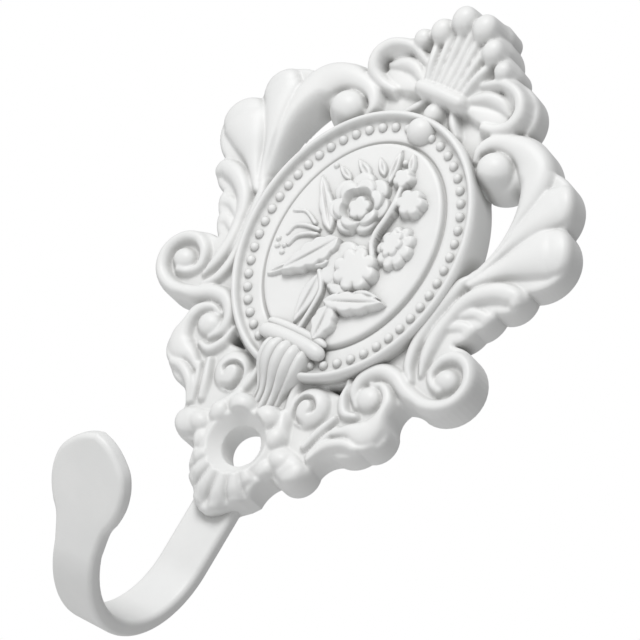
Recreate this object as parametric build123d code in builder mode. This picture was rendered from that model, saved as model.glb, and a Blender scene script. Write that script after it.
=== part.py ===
from build123d import *
import os
from math import atan, cos, degrees, pi, radians, sin

# Cast coat hook: an openwork plaque with an oval medallion, one screw hole and one flat bent hook.
# X is to the right and Z is up as it hangs, and the wall is the plane Y = 0, with the room at -Y.
# The origin is the axis of the screw hole, on the wall. Heights are measured from the wall.
# The plaque is drawn lying on its back, with Y up the wall and Z as the height, then stood up.

# Screw hole
BORE_RADIUS = 2.7
SINK_RADIUS = 4.2
SINK_ANGLE = 82
HOLE_FACE = 5.2
COLLAR_WALL = 0.7

# Heights of the casting
WEB_HEIGHT = 2.6
RIDGE_FOOT = 2.2
LEAF_CREST = 5.3
LOW_CREST = 4.6
CREST_PART = 0.45
ROOT_DEPTH = 1.0
FINE_FACETS = 2
PLAIN_FACETS = 1
ROD_SIDES = 8
KNOB_SIDES = 12
TIE_PLATE = 4.2

# Medallion
RING_RISE = 28.8
RIM_X = 15.6
RIM_Z = 18.95
RIM_WIDTH = 1.3
RIM_HEIGHT = 6.0
BAND_WIDTH = 2.4
BAND_HEIGHT = 4.9
GROOVE_WIDTH = 0.7
GROOVE_HEIGHT = 4.2
CAMEO_HEIGHT = 5.4
EDGE_BEVEL = 0.35
BEAD_COUNT = 52
BEAD_RADIUS = 0.56
BEAD_RISE = 0.6
BEAD_SINK = 0.2
BEAD_GAP = 0.35
BEAD_SIDES = 6
BEAD_TAPER = 20

# Flat hook
ARM_WIDTH = 6.5
ARM_THICKNESS = 2.2
ARM_ROOT = -4.5
ARM_DROP = 16.0
BEND_RADIUS = 11.9
PADDLE_LEAN = 34
PADDLE_WIDTH = 11.4
PADDLE_LENGTH = 15.2
PADDLE_FLARE = 4.9
PADDLE_WIDEST = 8.9
PADDLE_SHOULDER = 11.9
PADDLE_TIP_ROUND = 13.8


def level(height, rise=RING_RISE):
    """Plane at a height above the plaque's back: its x is X and its y runs up the wall."""
    return Plane(origin=(0, rise, height))


def blade(stations, facets, narrow=1.0):
    """Face along a smooth middle line through (x, z, half width) stations, with a pointed end.

    Each edge gets some straight facets for every two stations.
    """
    line = Edge.make_spline([(x, z) for x, z, half in stations])
    spans = len(stations) - 1
    left, right = [], []
    for i in range(spans * facets + 1):
        span = min(i // facets, spans - 1)
        part = i / facets - span
        first, second = stations[span], stations[span + 1]
        half = narrow * (first[2] + part * (second[2] - first[2]))
        spot, way = line @ (i / facets / spans), line % (i / facets / spans)
        left.append((spot.X - way.Y * half, spot.Y + way.X * half))
        right.append((spot.X + way.Y * half, spot.Y - way.X * half))
    with BuildLine() as edge:
        Polyline(*left, spot + way * half, *reversed(right), close=True)
    make_face(edge.edges())


def ridge(stations, facets, crest, foot_height=RIDGE_FOOT):
    """Sloping sides from a blade's whole face at its foot to a narrow one at the crest."""
    with BuildSketch(level(foot_height)) as foot:
        blade(stations, facets)
    with BuildSketch(level(crest)) as top:
        blade(stations, facets, CREST_PART)
    return loft([foot.sketch, top.sketch], ruled=True, mode=Mode.PRIVATE)


# Outline of the right half of the plaque: each lobe is an arc through start, middle and end
LOBES = [
    ((0, 33.3), (1.9, 34.4), (3.7, 32.4)),
    ((3.7, 32.4), (5.1, 31.3), (5.8, 30.2)),
    ((5.8, 30.2), (7.3, 29.5), (8.1, 28.0)),
    ((8.1, 28.0), (12.3, 26.0), (13.0, 22.2)),
    ((13.0, 22.2), (16.6, 21.5), (19.2, 19.2)),
    ((19.2, 19.2), (23.4, 17.4), (24.6, 13.1)),
    ((24.6, 13.1), (27.5, 9.9), (24.8, 3.8)),
    ((24.8, 3.8), (24.7, 1.8), (22.3, -0.3)),
    ((22.3, -0.3), (22.0, -1.9), (21.0, -3.3)),
    ((21.0, -3.3), (20.4, -4.8), (19.4, -5.9)),
    ((19.4, -5.9), (25.1, -10.2), (19.7, -15.5)),
    ((19.7, -15.5), (18.3, -15.3), (17.1, -15.6)),
    ((17.1, -15.6), (16.7, -17.2), (17.4, -19.0)),
    ((17.4, -19.0), (17.6, -21.2), (15.7, -23.2)),
    ((15.7, -23.2), (14.4, -24.5), (12.4, -25.1)),
    ((12.4, -25.1), (11.1, -26.1), (10.4, -27.6)),
    ((10.4, -27.6), (9.9, -30.2), (6.3, -30.9)),
    ((6.3, -30.9), (5.4, -32.3), (5.1, -34.2)),
]
OUTLINE_FOOT = (3.4, -35.3)

# Middle lines of the leaves and scrolls of the right half, as (x, z, half width)
INNER_LEAF = [(16.9, 3.0, 0.5), (18.1, 9.5, 0.85), (17.9, 15.5, 1.4), (15.8, 19.4, 1.9),
              (11.6, 19.6, 1.3)]
MIDDLE_LEAF = [(17.6, 4.0, 0.45), (20.2, 10.0, 1.3), (22.2, 15.4, 1.9)]
BROAD_LEAF = [(18.0, 2.2, 0.5), (21.3, 5.9, 1.9), (24.6, 9.2, 2.5)]
HOOKED_LEAF = [(17.0, -3.5, 0.75), (19.0, 0.9, 1.15), (22.6, 2.5, 1.1)]
UPPER_FINGER = [(18.4, -1.7, 0.6), (20.2, -1.1, 0.6), (21.8, -1.3, 0.5)]
LOWER_FINGER = [(17.9, -3.8, 0.6), (19.3, -3.4, 0.55), (20.4, -3.9, 0.45)]
LEAF_STEM = [(17.0, -3.2, 0.8), (16.8, -7.5, 0.9), (19.0, -12.2, 0.45)]
ROOT_STRAND = [(16.7, 3.4, 0.6), (15.6, -1.5, 0.9), (14.9, -7.0, 0.8), (15.7, -10.8, 0.7),
               (18.6, -12.9, 0.4)]
SCROLL = [(12.0, -18.2, 0.4), (10.8, -15.6, 0.85), (12.5, -12.9, 1.0), (16.5, -13.5, 1.05),
          (20.8, -14.4, 1.05), (24.3, -11.3, 1.05), (21.2, -7.5, 0.85), (19.1, -9.8, 0.7),
          (20.0, -11.8, 0.5)]
OUTER_STRAND = [(12.7, -15.5, 0.4), (15.3, -15.9, 0.75), (15.7, -19.4, 1.2)]
SIDE_STRAND = [(9.5, -15.9, 0.4), (9.8, -17.8, 0.55), (11.2, -19.4, 0.55)]
UPPER_LOBE = [(11.0, -21.4, 0.35), (12.8, -20.5, 0.8), (15.4, -20.9, 1.6)]
LOWER_LOBE = [(10.1, -26.2, 0.45), (11.8, -23.6, 0.7), (14.6, -23.0, 0.45)]
INNER_SCROLL = [(5.2, -23.6, 0.5), (4.2, -20.2, 0.6), (6.1, -18.0, 0.6), (8.4, -19.9, 0.6),
                (7.4, -22.9, 0.45)]
LONG_FRINGE = [(9.9, -21.3, 0.35), (9.1, -23.2, 0.5), (8.6, -25.2, 0.4)]
SHORT_FRINGE = [(11.2, -21.9, 0.3), (10.4, -23.5, 0.4), (9.7, -26.0, 0.35)]
INNER_FRINGE = [(3.3, -20.6, 0.5), (3.9, -23.2, 0.6), (4.6, -26.0, 0.6)]
PIPE = [(4.0, -27.3, 1.3), (6.2, -28.1, 1.4), (8.2, -28.9, 1.2)]
BOW_LOOP = [(4.2, 25.4, 0.7), (8.7, 26.7, 0.8), (11.6, 24.2, 0.8), (10.5, 21.3, 0.75),
            (7.3, 20.7, 0.55)]
BOW_RIBBON = [(4.0, 23.2, 0.6), (6.6, 24.9, 0.75), (9.3, 24.2, 0.5)]
BOW_TAIL = [(2.3, 21.2, 0.55), (3.1, 19.8, 0.6), (4.0, 18.6, 0.5)]
HIGH_BLADES = [INNER_LEAF, MIDDLE_LEAF, BROAD_LEAF, HOOKED_LEAF, LEAF_STEM, ROOT_STRAND, SCROLL,
               OUTER_STRAND, SIDE_STRAND, UPPER_LOBE, BOW_LOOP]
LOW_BLADES = [UPPER_FINGER, LOWER_FINGER, LOWER_LOBE, INNER_SCROLL, LONG_FRINGE, SHORT_FRINGE,
              INNER_FRINGE, PIPE, BOW_RIBBON, BOW_TAIL]

# Round knobs of the right half, as (x, z, radius, height of the centre)
KNOBS = [(1.7, 32.1, 1.85, 6.3), (4.1, 29.7, 1.55, 5.9), (6.4, 28.0, 1.25, 5.3),
         (12.4, 16.3, 2.6, 3.6), (21.3, -10.7, 1.6, 4.0), (13.0, -16.9, 1.75, 3.8),
         (6.2, -20.8, 1.4, 3.6), (8.6, -29.2, 1.7, 3.6)]
DOME_TURNS = (40, 68)

# Stems that fan out from the tie to the knobs of the crest, as (foot x, head x, head z)
CREST_STEMS = [(0.5, 0.75, 31.0), (1.5, 2.3, 30.6), (2.4, 3.7, 28.6), (3.3, 5.2, 27.2)]
CREST_FOOT = (22.6, 4.6)
CREST_HEAD = 5.9
STEM_RADII = (0.4, 0.6)

# Level rolls, as (z, height, half length, radius): the tie of the bow and the cushion
ROLLS = [(21.9, 4.9, 4.2, 0.95), (23.1, 4.7, 3.6, 0.6), (-13.4, 5.9, 4.0, 0.55),
         (-14.7, 5.8, 4.2, 1.0)]

# Knobs on the centre line, as (z, height, radius): the knot's neck and the pearl
CENTRE_KNOBS = [(19.9, 4.6, 1.35), (16.9, 4.6, 1.95)]

# Bouquet on the cameo: its flowers as (x, z, radius, layers) and its leaves and stems
BLOOMS = [(-2.4, 4.4, 3.9, 4), (1.9, -3.2, 3.4, 3), (5.9, 1.9, 2.3, 2), (-5.2, -3.6, 2.4, 2),
          (3.8, 7.2, 1.8, 2), (1.5, 10.2, 1.3, 1)]
BLOOM_ROOT = 0.2
LAYER_RISE = 0.45
PETAL_SLOPE = 0.35
PETAL_SIDES = 8
SPRIGS = [[(-5.4, 0.6, 0.5), (-7.4, 2.6, 1.0), (-9.2, 5.4, 0.4)],
          [(-5.6, 5.8, 0.4), (-7.2, 7.6, 0.8), (-8.2, 9.6, 0.3)],
          [(-2.4, 8.4, 0.5), (-2.0, 10.4, 0.8), (-1.4, 12.6, 0.3)],
          [(-0.4, -6.6, 0.5), (-0.6, -9.4, 0.5), (-0.5, -12.4, 0.4)],
          [(-3.6, -5.8, 0.5), (-3.6, -8.6, 1.0), (-2.2, -11.8, 0.3)],
          [(1.8, -6.4, 0.6), (4.4, -7.8, 1.2), (7.4, -7.2, 0.4)],
          [(1.2, -9.4, 0.4), (2.4, -10.8, 0.9), (3.0, -12.6, 0.3)]]
SPRIG_RISE = 0.7

# Fluted cup: corners of its wedge as (z, height), and its flutes
CUP_WEDGE = [(-15.4, 1.0), (-15.4, 6.3), (-17.5, 6.0), (-20.6, 3.9), (-20.6, 1.0)]
CUP_HALF = 3.3
FLUTES_A_SIDE = 3
FLUTE_PITCH = 1.15
FLUTE_RADII = (0.72, 0.5)
CUP_TOP = (-15.5, 6.3)
CUP_FOOT = (-20.7, 4.0)
CUP_TAPER = 0.75
RIB_X = 0.65
RIB_SPREAD = 1.3
RIB_TOP = (-20.3, 4.2)
RIB_FOOT = (-24.3, 4.2)
RIB_RADIUS = 0.5

# Shell below the hole and lips above it, measured from the hole
SHELL_TOP = -31.0
SHELL_HALF = 5.0
SHELL_EDGE = [(5.1, -33.6), (4.2, -35.0), (2.9, -36.2)]
SHELL_TIP = -38.4
SHELL_PLATE = 3.3
SHELL_STEP = 27
SHELL_REACH = 8.6
SHELL_FALL = 0.7
SHELL_HEIGHTS = (4.2, 3.0)
SHELL_RADII = (0.8, 1.3)
LIP_X = 2.25
LIP_RISE = 2.9
LIP_RADIUS = 2.3


def at(x, z, height):
    """Point of the lying plaque, from its place on the medallion's axes and its height."""
    return Vector(x, z + RING_RISE, height)


def rod(start, end, start_radius, end_radius):
    """Many-sided bar between two points, which may taper."""
    axis = end - start
    slope = (start_radius - end_radius) * cos(pi / ROD_SIDES) / axis.length
    with BuildSketch(Plane(origin=start, z_dir=axis)) as foot:
        RegularPolygon(start_radius, ROD_SIDES)
    return extrude(foot.sketch, amount=axis.length, taper=degrees(atan(slope)), mode=Mode.PRIVATE)


def step(x, z, low, high, wide, thin, sides, turn=0):
    """Many-sided ring that narrows from one radius to another between two heights."""
    slope = (wide - thin) * cos(pi / sides) / (high - low)
    with BuildSketch(level(low)) as ring:
        with Locations((x, z)):
            RegularPolygon(wide, sides, rotation=turn)
    return extrude(ring.sketch, amount=high - low, taper=degrees(atan(slope)), mode=Mode.PRIVATE)


def knob(x, z, radius, height):
    """Round-headed knob: an upright post up to a height, then two sloping rings as its dome."""
    levels, radii = [ROOT_DEPTH, height], [radius, radius]
    for turn in DOME_TURNS:
        levels.append(height + radius * sin(radians(turn)))
        radii.append(radius * cos(radians(turn)))
    return [step(x, z, low, high, wide, thin, KNOB_SIDES)
            for low, high, wide, thin in zip(levels, levels[1:], radii, radii[1:])]


def bloom(x, z, radius, layers):
    """Flower on the cameo: layers of petals that get smaller, each turned by half a petal."""
    petals = []
    for i in range(layers):
        wide = radius * (1 - i / layers)
        low = CAMEO_HEIGHT - BLOOM_ROOT + i * LAYER_RISE
        petals.append(step(x, z, low, low + BLOOM_ROOT + LAYER_RISE, wide, wide - PETAL_SLOPE,
                           PETAL_SIDES, i * 180 / PETAL_SIDES))
    return petals


def oval(inset):
    """Face of the medallion's oval, smaller than the rim by an inset."""
    Ellipse(RIM_X - inset, RIM_Z - inset)


def bevel(low_inset, low, high_inset, high):
    """Sloping oval step between two heights."""
    with BuildSketch(level(low)) as foot:
        oval(low_inset)
    with BuildSketch(level(high)) as top:
        oval(high_inset)
    return loft([foot.sketch, top.sketch], ruled=True, mode=Mode.PRIVATE)


# The medallion: rim, bead band, groove and the raised cameo plate in the middle
band_inset = RIM_WIDTH + BAND_WIDTH
cameo_inset = band_inset + GROOVE_WIDTH
with BuildPart() as medallion:
    with BuildSketch(level(0)):
        oval(0)
    extrude(amount=RIM_HEIGHT - EDGE_BEVEL)
    add(bevel(0, RIM_HEIGHT - EDGE_BEVEL, EDGE_BEVEL, RIM_HEIGHT))
    with BuildSketch(level(BAND_HEIGHT)):
        oval(RIM_WIDTH)
    extrude(amount=RIM_HEIGHT - BAND_HEIGHT, mode=Mode.SUBTRACT)
    with BuildSketch(level(GROOVE_HEIGHT)):
        oval(band_inset)
        Ellipse(RIM_X - cameo_inset, RIM_Z - cameo_inset, mode=Mode.SUBTRACT)
    extrude(amount=BAND_HEIGHT - GROOVE_HEIGHT, mode=Mode.SUBTRACT)
    add(bevel(cameo_inset, BAND_HEIGHT, cameo_inset + EDGE_BEVEL, CAMEO_HEIGHT))

# The bouquet, sunk a little into the cameo
with BuildPart() as bouquet:
    add([petal for place in BLOOMS for petal in bloom(*place)])
    add([ridge(stations, PLAIN_FACETS, CAMEO_HEIGHT + SPRIG_RISE, CAMEO_HEIGHT - BLOOM_ROOT)
         for stations in SPRIGS])

# Beads, evenly spaced round the band and sunk a little into it
bead_inset = RIM_WIDTH + BEAD_RADIUS + BEAD_GAP
bead_line = Edge.make_ellipse(RIM_X - bead_inset, RIM_Z - bead_inset)
with BuildPart() as beads:
    with BuildSketch(level(BAND_HEIGHT - BEAD_SINK)):
        for i in range(BEAD_COUNT):
            spot = bead_line @ (i / BEAD_COUNT)
            with Locations((spot.X, spot.Y)):
                RegularPolygon(BEAD_RADIUS, BEAD_SIDES)
    extrude(amount=BEAD_SINK + BEAD_RISE, taper=BEAD_TAPER)

# The flat hook: one bar bent in a J and spread into a rounded paddle
lean = radians(PADDLE_LEAN)
with BuildPart() as arm:
    with BuildLine(Plane.YZ) as arm_line:
        leg = Line((-ARM_THICKNESS / 2, ARM_ROOT), (-ARM_THICKNESS / 2, -ARM_DROP))
        bend = JernArc(leg @ 1, (0, -1), BEND_RADIUS, PADDLE_LEAN - 180)
    with BuildSketch(Plane(origin=leg @ 0, z_dir=leg % 0)):
        Rectangle(ARM_WIDTH, ARM_THICKNESS)
    sweep(path=arm_line.line)
    with BuildSketch(Plane(origin=bend @ 1, x_dir=(1, 0, 0), z_dir=(0, -cos(lean), -sin(lean)))):
        with BuildLine():
            ThreePointArc((ARM_WIDTH / 2, 0), (ARM_WIDTH * 0.59, PADDLE_FLARE * 0.66),
                          (ARM_WIDTH * 0.73, PADDLE_FLARE))
            ThreePointArc((ARM_WIDTH * 0.73, PADDLE_FLARE), (PADDLE_WIDTH / 2, PADDLE_WIDEST),
                          (PADDLE_WIDTH * 0.43, PADDLE_SHOULDER))
            ThreePointArc((PADDLE_WIDTH * 0.43, PADDLE_SHOULDER),
                          (PADDLE_WIDTH * 0.28, PADDLE_TIP_ROUND), (0, PADDLE_LENGTH))
            mirror(about=Plane.YZ)
            Line((-ARM_WIDTH / 2, 0), (ARM_WIDTH / 2, 0))
        make_face()
    extrude(amount=ARM_THICKNESS / 2, both=True)

# Right half of the openwork: the web with its openings, then the walls, leaves, scrolls and knobs
with BuildPart() as openwork:
    with BuildSketch(level(0)):
        with BuildLine():
            for start, middle, end in LOBES:
                ThreePointArc(start, middle, end)
            Polyline(LOBES[-1][2], OUTLINE_FOOT, (0, OUTLINE_FOOT[1]), LOBES[0][0])
        make_face()
        with BuildLine():
            ThreePointArc((15.7, 3.2), (17.3, 9.3), (15.6, 15.2))
            ThreePointArc((15.6, 15.2), (14.3, 13.3), (11.9, 12.7))
            ThreePointArc((11.9, 12.7), (14.4, 8.3), (15.7, 3.2))
        make_face(mode=Mode.SUBTRACT)
        with BuildLine():
            Polyline((7.0, -17.5), (9.0, -16.4), (9.0, -17.6), close=True)
        make_face(mode=Mode.SUBTRACT)
    extrude(amount=WEB_HEIGHT)
    with BuildSketch(level(ROOT_DEPTH)):
        with BuildLine():
            Polyline((0, 17.5), (5.0, 17.8), (8.6, 17.9), (9.8, 19.6), (8.0, 21.4), (4.0, 25.2),
                     (5.6, 28.4), (3.0, 31.0), (0, 31.4), close=True)
        make_face()
    extrude(amount=TIE_PLATE - ROOT_DEPTH)
    add([ridge(stations, FINE_FACETS, LEAF_CREST) for stations in HIGH_BLADES])
    add([ridge(stations, PLAIN_FACETS, LOW_CREST) for stations in LOW_BLADES])
    add([rod(at(foot_x, *CREST_FOOT), at(head_x, head_z, CREST_HEAD), *STEM_RADII)
         for foot_x, head_x, head_z in CREST_STEMS])
    add([ring for place in KNOBS for ring in knob(*place)])
    mirror(about=Plane.YZ)

# Fluted cup under the cushion, on a wedge that falls away downwards, with the ribs below it
with BuildPart() as cup:
    with BuildSketch(Plane.YZ):
        with BuildLine():
            Polyline([(z + RING_RISE, height) for z, height in CUP_WEDGE], close=True)
        make_face()
    extrude(amount=CUP_HALF, both=True)
    add([rod(at(i * FLUTE_PITCH, *CUP_TOP), at(i * FLUTE_PITCH * CUP_TAPER, *CUP_FOOT), *FLUTE_RADII)
         for i in range(-FLUTES_A_SIDE, FLUTES_A_SIDE + 1)])
    add([rod(at(x, *RIB_TOP), at(x * RIB_SPREAD, *RIB_FOOT), RIB_RADIUS, RIB_RADIUS)
         for x in (-RIB_X, RIB_X)])

# Collar and lips round the screw hole, and the ribbed shell below it
with BuildPart() as seat:
    with BuildSketch(level(0)):
        with BuildLine():
            Polyline((0, SHELL_TOP), (SHELL_HALF, SHELL_TOP), *SHELL_EDGE, (0, SHELL_TIP))
            mirror(about=Plane.YZ)
        make_face()
    extrude(amount=SHELL_PLATE)
    shell_ribs = []
    for i in range(-2, 3):
        turn = radians(270 + i * SHELL_STEP)
        root = Vector(cos(turn) * SINK_RADIUS, sin(turn) * SINK_RADIUS, SHELL_HEIGHTS[0])
        reach = SHELL_REACH - abs(i) * SHELL_FALL
        end = Vector(cos(turn) * reach, sin(turn) * reach, SHELL_HEIGHTS[1])
        shell_ribs.append(rod(root, end, *SHELL_RADII))
    add(shell_ribs)
    with BuildSketch(level(ROOT_DEPTH, 0)):
        Circle(SINK_RADIUS + COLLAR_WALL)
        with Locations((LIP_X, LIP_RISE), (-LIP_X, LIP_RISE)):
            Circle(LIP_RADIUS)
    extrude(amount=HOLE_FACE - ROOT_DEPTH)

# The whole casting: rolls and knobs of the centre line join the groups, then the hole goes in
centre = [ring for z, height, radius in CENTRE_KNOBS for ring in knob(0, z, radius, height)]
for z, height, half_length, radius in ROLLS:
    centre.append(rod(at(-half_length, z, height), at(half_length, z, height), radius, radius))
with BuildPart() as plaque:
    add([openwork.part, medallion.part, bouquet.part, beads.part, cup.part, seat.part] + centre)
with BuildPart() as coat_hook:
    add(plaque.part, rotation=(90, 0, 0))
    add(arm.part)
    with Locations(Plane(origin=(0, -HOLE_FACE, 0), x_dir=(1, 0, 0), z_dir=(0, -1, 0))):
        CounterSinkHole(BORE_RADIUS, SINK_RADIUS, 2 * HOLE_FACE, SINK_ANGLE)
coat_hook.part.label = "coat_hook"

os.makedirs("parts", exist_ok=True)
export_step(coat_hook.part, "parts/coat_hook.step")
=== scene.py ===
import math

import bmesh
import bpy
import numpy as np
from mathutils import Matrix, Vector


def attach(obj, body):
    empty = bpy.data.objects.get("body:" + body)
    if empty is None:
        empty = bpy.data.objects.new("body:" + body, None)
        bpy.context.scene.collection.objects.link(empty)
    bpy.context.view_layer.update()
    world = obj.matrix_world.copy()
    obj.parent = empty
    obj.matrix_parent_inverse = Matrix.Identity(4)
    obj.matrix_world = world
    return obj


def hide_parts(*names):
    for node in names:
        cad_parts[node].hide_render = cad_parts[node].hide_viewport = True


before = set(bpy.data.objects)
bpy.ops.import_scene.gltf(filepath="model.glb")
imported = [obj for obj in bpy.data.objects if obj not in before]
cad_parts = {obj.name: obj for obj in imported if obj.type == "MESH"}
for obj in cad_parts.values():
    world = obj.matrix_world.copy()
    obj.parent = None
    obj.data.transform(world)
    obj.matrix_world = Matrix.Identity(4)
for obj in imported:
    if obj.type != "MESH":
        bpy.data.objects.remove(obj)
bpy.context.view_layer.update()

# A cast coat hook in white enamel: an openwork plaque of leaves and scrolls with an oval medallion,
# and one flat bar bent in a J. Lengths are in millimetres until a mesh is made. The plaque is worked
# out lying on its back: x to the right, z up the wall from the medallion's centre, height off the wall.

MM = 0.001
# The medallion's centre over the screw hole, and the half axes of its rim
RING_RISE = 28.8
RIM_X, RIM_Z = 15.6, 18.95
# Height of the web between the strands, and how deep a strand's side is for its half width
WEB_HEIGHT = 3.9
STRAND_DEPTH = 1.3
# Air behind the medallion and the flat hook, so that no two backs lie in one plane
BACK_GAP = 0.03

# The camera's place in degrees and millimetres, and the picture in pixels
CAMERA_SIDE, CAMERA_RISE, CAMERA_ROLL = 33, -10, 30.8
CAMERA_DISTANCE = 568.75
AIM_HEIGHT = 5.1
PHOTO_WIDTH = 640
FOCAL_PIXELS = 4550
PIXELS_A_MM = 8.0
# Where the medallion's centre stands in the picture, to the right of its middle and above it
CENTRE_RIGHT, CENTRE_UP = 33.1, 74.9
SENSOR_WIDTH = 36.0

# Light and floor, in metres and watts
HOOK_MIDDLE = Vector((0, -0.01, 0.02))
FILL_LIGHT = 0.33
KEY_SPOT, KEY_SIZE, KEY_WATTS = (-0.15, -0.85, 0.65), 0.45, 7.9
FLOOR_LEVEL, FLOOR_REACH = -0.15, 3


# Camera and light


def place_camera():
    """Camera to the hook's right and below it, rolled so that the hook leans in the picture."""
    side, below, roll = (math.radians(angle) for angle in (CAMERA_SIDE, CAMERA_RISE, CAMERA_ROLL))
    bead_plane = Vector((0, -AIM_HEIGHT, RING_RISE)) * MM
    back = Vector((math.sin(side) * math.cos(below), -math.cos(side) * math.cos(below), math.sin(below)))
    right = Vector((math.cos(side), math.sin(side), 0))
    up = back.cross(right)
    across = right * math.cos(roll) + up * math.sin(roll)
    upward = up * math.cos(roll) - right * math.sin(roll)
    aim = bead_plane - (across * CENTRE_RIGHT + upward * CENTRE_UP) * (MM / PIXELS_A_MM)
    spot = bead_plane + back * (CAMERA_DISTANCE * MM)
    depth = (spot - aim).normalized()
    width = (across - depth * across.dot(depth)).normalized()
    height = depth.cross(width)
    data = bpy.data.cameras.new("photo_camera")
    data.sensor_width = SENSOR_WIDTH
    data.lens = FOCAL_PIXELS * SENSOR_WIDTH / PHOTO_WIDTH
    data.clip_start = 0.01
    camera = bpy.data.objects.new("photo_camera", data)
    turn = Matrix((width, height, depth)).transposed().to_4x4()
    camera.matrix_world = Matrix.Translation(spot) @ turn
    bpy.context.scene.collection.objects.link(camera)
    bpy.context.scene.camera = camera


def softbox(name, spot, size, watts):
    """Square lamp at a spot in metres, turned to the middle of the hook."""
    data = bpy.data.lights.new(name, "AREA")
    data.size = size
    data.energy = watts
    lamp = bpy.data.objects.new(name, data)
    lamp.rotation_euler = (HOOK_MIDDLE - Vector(spot)).to_track_quat("-Z", "Y").to_euler()
    lamp.location = spot
    bpy.context.scene.collection.objects.link(lamp)


def plain_world(level):
    """Even pale light all round, and plain white where the camera sees past the hook."""
    world = bpy.data.worlds.new("plain_studio")
    bpy.context.scene.world = world
    world.use_nodes = True
    nodes, links = world.node_tree.nodes, world.node_tree.links
    nodes.clear()
    fill, white = nodes.new("ShaderNodeBackground"), nodes.new("ShaderNodeBackground")
    fill.inputs["Color"].default_value = (1.0, 1.0, 1.0, 1)
    fill.inputs["Strength"].default_value = level
    white.inputs["Color"].default_value = (1, 1, 1, 1)
    path, mix, out = (nodes.new(kind) for kind in (
        "ShaderNodeLightPath", "ShaderNodeMixShader", "ShaderNodeOutputWorld"))
    links.new(path.outputs["Is Camera Ray"], mix.inputs["Fac"])
    links.new(fill.outputs["Background"], mix.inputs[1])
    links.new(white.outputs["Background"], mix.inputs[2])
    links.new(mix.outputs["Shader"], out.inputs["Surface"])


# Materials


def enamel():
    """White enamel: cloudy white, greyer in the hollows as painted shade from ambient occlusion, with the
    fine ripple of a cast surface.
    """
    material = bpy.data.materials.new("white_enamel")
    material.use_nodes = True
    nodes, links = material.node_tree.nodes, material.node_tree.links
    shader = nodes["Principled BSDF"]
    place = nodes.new("ShaderNodeTexCoord")
    cloud, ripple, grain = (nodes.new("ShaderNodeTexNoise") for _ in range(3))
    cloud.inputs["Scale"].default_value = 120
    ripple.inputs["Scale"].default_value = 500
    grain.inputs["Scale"].default_value = 3500
    for noise in (cloud, ripple, grain):
        noise.inputs["Detail"].default_value = 3
        links.new(place.outputs["Object"], noise.inputs["Vector"])
    tint = nodes.new("ShaderNodeValToRGB")
    tint.color_ramp.elements[0].position = 0.3
    tint.color_ramp.elements[0].color = (0.80, 0.805, 0.80, 1)
    tint.color_ramp.elements[1].position = 0.7
    tint.color_ramp.elements[1].color = (0.85, 0.852, 0.845, 1)
    links.new(cloud.outputs["Fac"], tint.inputs["Fac"])
    # Painted shade: the ambient occlusion node mixes the base colour towards grey in hollows, creases and
    # gaps, where shade falls.
    hollow, painted_shade = nodes.new("ShaderNodeAmbientOcclusion"), nodes.new("ShaderNodeMix")
    hollow.inputs["Distance"].default_value = 0.0021
    hollow.samples = 8
    reach = nodes.new("ShaderNodeMapRange")
    reach.inputs["From Min"].default_value = 0.35
    reach.inputs["From Max"].default_value = 0.9
    painted_shade.data_type = "RGBA"
    painted_shade.inputs["A"].default_value = (0.52, 0.52, 0.51, 1)
    links.new(hollow.outputs["AO"], reach.inputs["Value"])
    links.new(reach.outputs["Result"], painted_shade.inputs["Factor"])
    links.new(tint.outputs["Color"], painted_shade.inputs["B"])
    links.new(painted_shade.outputs["Result"], shader.inputs["Base Color"])
    gloss = nodes.new("ShaderNodeMapRange")
    gloss.inputs["To Min"].default_value = 0.42
    gloss.inputs["To Max"].default_value = 0.55
    links.new(ripple.outputs["Fac"], gloss.inputs["Value"])
    links.new(gloss.outputs["Result"], shader.inputs["Roughness"])
    mix = nodes.new("ShaderNodeMath")
    mix.operation = "MULTIPLY_ADD"
    mix.inputs[1].default_value = 0.25
    links.new(grain.outputs["Fac"], mix.inputs[0])
    links.new(ripple.outputs["Fac"], mix.inputs[2])
    bump = nodes.new("ShaderNodeBump")
    bump.inputs["Strength"].default_value = 0.12
    bump.inputs["Distance"].default_value = 0.0002
    links.new(mix.outputs["Value"], bump.inputs["Height"])
    links.new(bump.outputs["Normal"], shader.inputs["Normal"])
    shader.inputs["Specular IOR Level"].default_value = 0.35
    shader.inputs["Coat Weight"].default_value = 0.08
    shader.inputs["Coat Roughness"].default_value = 0.25
    return material


def pale_floor_finish():
    """Matt white of the floor."""
    material = bpy.data.materials.new("pale_floor")
    material.use_nodes = True
    shader = material.node_tree.nodes["Principled BSDF"]
    shader.inputs["Base Color"].default_value = (0.9, 0.9, 0.9, 1)
    shader.inputs["Roughness"].default_value = 0.9
    return material


# Meshes


def stand_up(across, rise, height):
    """Points of the lying plaque as points on the wall, in metres."""
    return np.stack([across, -height, rise + RING_RISE], axis=-1).reshape(-1, 3) * MM


def make_piece(name, points, faces, crease=40):
    """Closed mesh of the casting: doubles merged, open rims filled, edges sharp past the crease angle."""
    mesh = bpy.data.meshes.new(name)
    mesh.from_pydata(points.tolist(), [], faces.tolist())
    mesh.update()
    piece = bpy.data.objects.new(name, mesh)
    bpy.context.scene.collection.objects.link(piece)
    work = bmesh.new()
    work.from_mesh(mesh)
    bmesh.ops.remove_doubles(work, verts=work.verts, dist=1e-6)
    rims = [edge for edge in work.edges if edge.is_boundary]
    if rims:
        bmesh.ops.triangle_fill(work, use_beauty=False, use_dissolve=False, edges=rims)
    bmesh.ops.dissolve_degenerate(work, dist=1e-7, edges=work.edges)
    bmesh.ops.recalc_face_normals(work, faces=work.faces)
    work.to_mesh(mesh)
    work.free()
    mesh.shade_smooth()
    mesh.set_sharp_from_angle(angle=math.radians(crease))
    mesh.materials.append(WHITE_ENAMEL)
    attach(piece, "root")
    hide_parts("coat_hook")


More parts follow.
